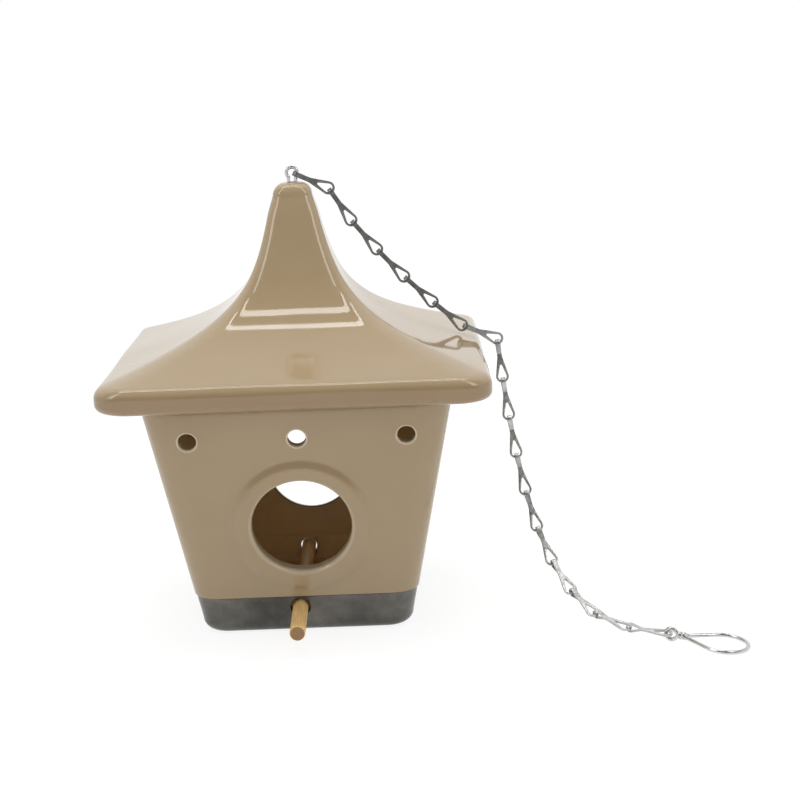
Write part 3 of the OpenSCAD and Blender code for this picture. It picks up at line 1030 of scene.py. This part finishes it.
def resample(points, n):
    """n even points along a closed outline."""
    p = np.array(points)
    q = np.vstack([p, p[:1]])
    s = np.concatenate([[0], np.cumsum(np.linalg.norm(np.diff(q, axis=0), axis=1))])
    t = np.linspace(0, s[-1], n, endpoint=False)
    return np.column_stack([np.interp(t, s, q[:, k]) for k in (0, 1)])


def inset(outline, d):
    """The outline moved inwards by d, for an anticlockwise outline."""
    t = np.roll(outline, -1, 0) - np.roll(outline, 1, 0)
    t /= np.linalg.norm(t, axis=1)[:, None]
    return outline + d * np.column_stack([-t[:, 1], t[:, 0]])


def around(c, r, turns):
    return [np.array(c) + r * np.array([math.cos(a), math.sin(a)]) for a in turns]


def plate_outlines(start):
    """Outlines of a link's flat plate from x = start on: its rim, and its eye with a pointed slot."""
    eye_c = np.array([LINK_PITCH, 0.0])
    rim_r, open_r = LINK_EYE_W / 2, LINK_EYE_W / 2 - LINK_BAR
    neck = LINK_NECK / 2
    apex = np.array([LINK_PITCH - LINK_SLOT, 0.4 * LINK_BAR])
    touch = tangent((NECK_L, neck), eye_c, rim_r) - eye_c
    open_touch = tangent(apex, eye_c, open_r) - eye_c
    rim_turn = math.atan2(touch[1], touch[0])
    open_turn = math.atan2(open_touch[1], open_touch[0])
    ease = [(NECK_L - EASE_BEFORE, -neck), (NECK_L + EASE_AFTER, -neck - EASE_OUT)]
    side = [np.array(p) for p in [(start, -neck)] + ease]
    rim = side + around(eye_c, rim_r, np.linspace(-rim_turn, rim_turn, 28))
    rim += [p * (1, -1) for p in reversed(side)]
    hole = around(eye_c, open_r, np.linspace(-open_turn, open_turn, 24))
    hole += [apex, apex * (1, 0) - (SLOT_POINT, 0), apex * (1, -1)]
    return resample(rim, 84), resample(hole, 60)


def plate_parts(outer, inner):
    """Two layers of sheet pressed together, with softened edges and a fine seam between them."""
    t, soft = LINK_SHEET, LINK_SOFT
    steps = [(soft, t), (soft * 0.3, t - soft * 0.3), (0, t - soft), (0, 0.07), (0.09, 0.0)]
    steps += [(d, -y) for d, y in reversed(steps[:-1])]
    parts = []
    for outline, sign in ((outer, 1), (inner, -1)):
        rings = []
        for d, y in steps:
            o = inset(outline, sign * d)
            rings.append(np.column_stack([o[:, 0], np.full(len(o), y), o[:, 1]]))
        parts.append(loft(rings))
    o, i = inset(outer, soft), inset(inner, -soft)
    edges = [(k, (k + 1) % len(o)) for k in range(len(o))]
    edges += [(len(o) + k, len(o) + (k + 1) % len(i)) for k in range(len(i))]
    found, _, tris, _, _, _ = delaunay_2d_cdt([Vector(p) for p in (*o, *i)], edges, [], 0, 1e-7)
    found = np.array([tuple(p) for p in found])
    kept = []
    for f in tris:
        middle = found[list(f)].mean(0)
        if within(middle, o) and not within(middle, i):
            kept.append(f)
    for y in (t, -t):
        parts.append((np.column_stack([found[:, 0], np.full(len(found), y), found[:, 1]]), kept))
    return parts


def fold_parts(plate_x):
    """The strip folded round the bar before it, in the plane square to the plate."""
    mean_r = FOLD_D / 2 + LINK_SHEET / 2
    fold_c = np.array([SEAT_R, 0.0])
    leg = np.array([plate_x + LEG_START, LINK_SHEET / 2])
    lift = tangent(leg, fold_c, mean_r)
    turn = math.atan2(lift[1], lift[0] - SEAT_R)
    strand = [leg + (LEG_RUN, 0), leg, lift * 0.5 + leg * 0.5]
    path = strand + around(fold_c, mean_r, np.linspace(turn, 2 * math.pi - turn, 34))
    path = np.array(path + [p * (1, -1) for p in reversed(strand)])
    d = np.gradient(path, axis=0)
    d /= np.linalg.norm(d, axis=1)[:, None]
    half_w, half_t, soft = LINK_NECK / 2, LINK_SHEET / 2 - LEG_THINNER, FOLD_SOFT
    section = []
    for st, sw, a in ((1, 1, 0), (-1, 1, 90), (-1, -1, 180), (1, -1, 270)):
        turns = [math.radians(a + 30 * k) for k in range(4)]
        section += around((st * (half_t - soft), sw * (half_w - soft)), soft, turns)
    rings = []
    for (x, y), (dx, dy) in zip(path, d):
        rings.append(np.array([(x - s * dy, y + s * dx, w) for s, w in section]))
    return [loft(rings), cap(rings[0]), cap(rings[-1])]


def link_mesh():
    plate_x = SEAT_R + FOLD_D / 2 + LINK_SHEET + FOLD_TAPER
    return join(*plate_parts(*plate_outlines(plate_x - LINK_BAR)), *fold_parts(plate_x))


def make_chain():
    joints = {j["name"]: j for j in frame["joints"]}
    names = [f"swing_{i:02d}" for i in range(1, LINK_COUNT + 1)] + ["hanger_swing"]
    pos = [np.array(joints[n]["pos_m"]) / MM for n in names]
    axes = [np.array(joints[n]["axis"]) for n in names]
    verts, faces = link_mesh()
    verts = np.array(verts)
    for i in range(LINK_COUNT):
        x = pos[i + 1] - pos[i]
        x /= np.linalg.norm(x)
        y = -axes[i + 1]
        y -= (y @ x) * x
        y /= np.linalg.norm(y)
        turned = pos[i] + verts @ np.array([x, y, np.cross(x, y)])
        name = f"link_{i + 1:02d}"
        even_normals(make(name, turned, faces, name, [f"chain_{name}"], [STEEL]))
    return pos[-1]


# Hanger: one wire, a ring round the last link's bar, a short twist and an open teardrop


# Room left between the two wires of the twist, on each side of the middle
TWIST_CLEAR = 0.06
TWIST_TURN = math.radians(450)


def make_hook(end):
    ring_r = SEAT_R
    lift = ring_r + HOOK_WIRE_D / 2 + SEAT_GAP - end[2]
    start_x = SEAT_R + ring_r
    loop_r = (HOOK_W - HOOK_WIRE_D) / 2
    loop_x = start_x + HOOK_L - loop_r - HOOK_WIRE_D / 2
    fall = end[2] + lift - HOOK_WIRE_D / 2 - SEAT_GAP
    drop = math.asin(fall / (loop_x + loop_r))
    spread = HOOK_WIRE_D / 2 + TWIST_CLEAR
    neck_end = start_x + HOOK_NECK_L + TWIST_RUN
    touch = tangent((neck_end, spread), (loop_x, 0), loop_r)
    turn = math.atan2(touch[1], touch[0] - loop_x)
    gap = math.asin(spread / ring_r)
    first = start_x + ring_r * (math.cos(gap) - 1)
    flat = around((loop_x, 0), loop_r, np.linspace(0, turn, 33))
    flat += [(1 - t) * touch + t * np.array((neck_end, spread)) for t in np.arange(1, 12) / 12]
    side = [(x, y, 0.0) for x, y in flat]
    for t in np.arange(25) / 24:
        a = TWIST_TURN * t
        side.append((neck_end + (first - neck_end) * t, spread * math.cos(a), spread * math.sin(a)))
    turns = gap + (2 * math.pi - 2 * gap) * np.arange(1, 30) / 30
    ring = [(x, 0.0, z) for x, z in around((SEAT_R, 0), ring_r, turns)]
    other = [(x, -y, -z) for x, y, z in reversed(side)]
    path = np.array(side + ring + other[:-1])
    for _ in range(2):
        path = (np.roll(path, 1, 0) + 2 * path + np.roll(path, -1, 0)) / 4
    tilt = Matrix.Rotation(drop, 3, "Y")
    heading = Matrix.Rotation(math.radians(HOOK_HEADING), 3, "Z")
    placed = (path + (0, 0, lift)) @ np.array(heading @ tilt).T + end
    verts, faces = sweep(placed, HOOK_WIRE_D / 2, 14, closed=True)
    make("hanger_wire", verts, faces, "hanger", ["hanger_hook"], [ZINC])


make_roof()
make_house()
make_base()
make_perch()
make_eye()
make_hook(make_chain())

# The washer keeps its own shape, out of sight under the spire
washer = frame["nodes"]["retaining_washer"]
washer.data.materials.clear()
washer.data.materials.append(ZINC)


# Stage: pale floor, soft light tent with a dimmer opening on the camera's side, camera


FLOOR_SIZE = 8
# Just under the part, which rests at 0
FLOOR_Z = -0.0002
FLOOR_COLOUR = (0.92, 0.92, 0.92, 1)
# As seen, the floor is white by its glow and keeps the shadow by its diffuse share
SHADOW_SHARE = (0.22, 0.22, 0.22, 1)
FLOOR_GLOW = 0.86
TENT_LIGHT = (0.74, 0.74, 0.74)
TENT_WHITE = (1.0, 1.0, 1.0)
TENT_OPENING = (0.09, 0.085, 0.08)
# The opening's soft edges, as parts of a direction: towards the back, to each side and at the floor
OPENING_BACK = (0.45, 0.05)
OPENING_SIDE = (0.95, 0.6)
OPENING_FLOOR = (-0.02, 0.05)


def seen_rays(nt):
    """1 for camera, glossy and transmission rays, and the Light Path node."""
    path = nt.nodes.new("ShaderNodeLightPath")
    seen = math_node(nt, "MAXIMUM", path.outputs["Is Camera Ray"], path.outputs["Is Glossy Ray"])
    return math_node(nt, "MAXIMUM", seen, path.outputs["Is Transmission Ray"]), path


def stage():
    bpy.ops.mesh.primitive_plane_add(size=FLOOR_SIZE, location=(0, 0, FLOOR_Z))
    floor = bpy.context.object
    floor.name = "floor"
    mat = bpy.data.materials.new("white_floor")
    mat.use_nodes = True
    nt = mat.node_tree
    nt.nodes.clear()
    out = nt.nodes.new("ShaderNodeOutputMaterial")
    seen, _ = seen_rays(nt)
    plain = node(nt, "ShaderNodeBsdfDiffuse", Color=FLOOR_COLOUR)
    soft = node(nt, "ShaderNodeBsdfDiffuse", Color=SHADOW_SHARE)
    glow = node(nt, "ShaderNodeEmission", Color=(1, 1, 1, 1), Strength=FLOOR_GLOW)
    add = nt.nodes.new("ShaderNodeAddShader")
    nt.links.new(soft.outputs[0], add.inputs[0])
    nt.links.new(glow.outputs[0], add.inputs[1])
    pick = nt.nodes.new("ShaderNodeMixShader")
    nt.links.new(seen, pick.inputs[0])
    nt.links.new(plain.outputs[0], pick.inputs[1])
    nt.links.new(add.outputs[0], pick.inputs[2])
    nt.links.new(pick.outputs[0], out.inputs["Surface"])
    floor.data.materials.append(mat)


def world():
    """A white tent, whose opening towards the camera is dim in reflections only."""
    w = bpy.data.worlds.new("tent")
    bpy.context.scene.world = w
    w.use_nodes = True
    nt = w.node_tree
    nt.nodes.clear()
    out = nt.nodes.new("ShaderNodeOutputWorld")
    tc = nt.nodes.new("ShaderNodeTexCoord")
    sep = nt.nodes.new("ShaderNodeSeparateXYZ")
    nt.links.new(tc.outputs["Generated"], sep.inputs[0])
    x, y, z = sep.outputs

    def soft_step(value, low, high):
        m = node(nt, "ShaderNodeMapRange", interpolation_type="SMOOTHSTEP")
        nt.links.new(value, m.inputs["Value"])
        m.inputs["From Min"].default_value = low
        m.inputs["From Max"].default_value = high
        return m.outputs["Result"]

    front = soft_step(y, *OPENING_BACK)
    across = soft_step(math_node(nt, "ABSOLUTE", x), *OPENING_SIDE)
    above = soft_step(z, *OPENING_FLOOR)
    opening = math_node(nt, "MULTIPLY", math_node(nt, "MULTIPLY", front, across), above)
    seen, path = seen_rays(nt)
    seen_dim = math_node(nt, "MULTIPLY", opening, path.outputs["Is Glossy Ray"])
    backdrop = mix(nt, seen_dim, TENT_WHITE, TENT_OPENING)
    colour = mix(nt, seen, TENT_LIGHT, backdrop)
    bg = nt.nodes.new("ShaderNodeBackground")
    nt.links.new(colour, bg.inputs["Color"])
    nt.links.new(bg.outputs[0], out.inputs["Surface"])


def lamp(name, place_at, aim, size, power):
    data = bpy.data.lights.new(name, "AREA")
    data.shape = "RECTANGLE"
    data.size, data.size_y = size
    data.energy = power
    obj = bpy.data.objects.new(name, data)
    bpy.context.scene.collection.objects.link(obj)
    obj.location = place_at
    obj.visible_camera = False
    obj.rotation_mode = "QUATERNION"
    obj.rotation_quaternion = (Vector(aim) - Vector(place_at)).to_track_quat("-Z", "Y")
    return obj


# The camera, fitted to the photograph: focal length and principal point in pixels, place in millimetres
IMAGE = 800
FOCUS = 1741.41
PRINCIPAL_X = 389.69
PRINCIPAL_Y = 387.53
PITCH_DOWN = math.radians(11.93)
YAW = math.radians(-0.14)
ROLL = math.radians(-2.16)
CAMERA_AT = (38.83, -721.94, 244.21)
SENSOR = 36


def camera():
    flat = math.cos(PITCH_DOWN)
    ahead = Vector((math.sin(YAW) * flat, math.cos(YAW) * flat, -math.sin(PITCH_DOWN)))
    level = Vector((math.cos(YAW), -math.sin(YAW), 0))
    above = level.cross(ahead)
    right = math.cos(ROLL) * level + math.sin(ROLL) * above
    up = -math.sin(ROLL) * level + math.cos(ROLL) * above
    data = bpy.data.cameras.new("camera")
    data.sensor_width = SENSOR
    data.lens = FOCUS * SENSOR / IMAGE
    data.shift_x = (IMAGE / 2 - PRINCIPAL_X) / IMAGE
    data.shift_y = (PRINCIPAL_Y - IMAGE / 2) / IMAGE
    data.clip_start, data.clip_end = 0.01, 50
    obj = bpy.data.objects.new("camera", data)
    bpy.context.scene.collection.objects.link(obj)
    m = Matrix((right, up, -ahead)).transposed().to_4x4()
    m.translation = Vector(CAMERA_AT) * MM
    obj.matrix_world = m
    bpy.context.scene.camera = obj


stage()
world()
# The top panel lights the surfaces, and the bars and side panels show only as highlights in the glaze
lamp("top_panel", (0.0, 0.03, 0.8), (0, 0.03, 0.1), (0.6, 0.6), 2.5).visible_glossy = False
lamp("bar", (0.0, -0.037, 0.75), (0, -0.03, 0.1), (0.5, 0.07), 0.85).visible_diffuse = False
lamp("back_bar", (0.0, 0.138, 0.75), (0, 0, 0.1), (0.5, 0.05), 0.55).visible_diffuse = False
for side, name in ((-1, "left_panel"), (1, "right_panel")):
    lamp(name, (side * 0.5, -0.39, 1.0), (0, 0, 1.0), (0.24, 1.2), 3.9).visible_diffuse = False
camera()
bpy.context.scene.view_settings.view_transform = "Standard"
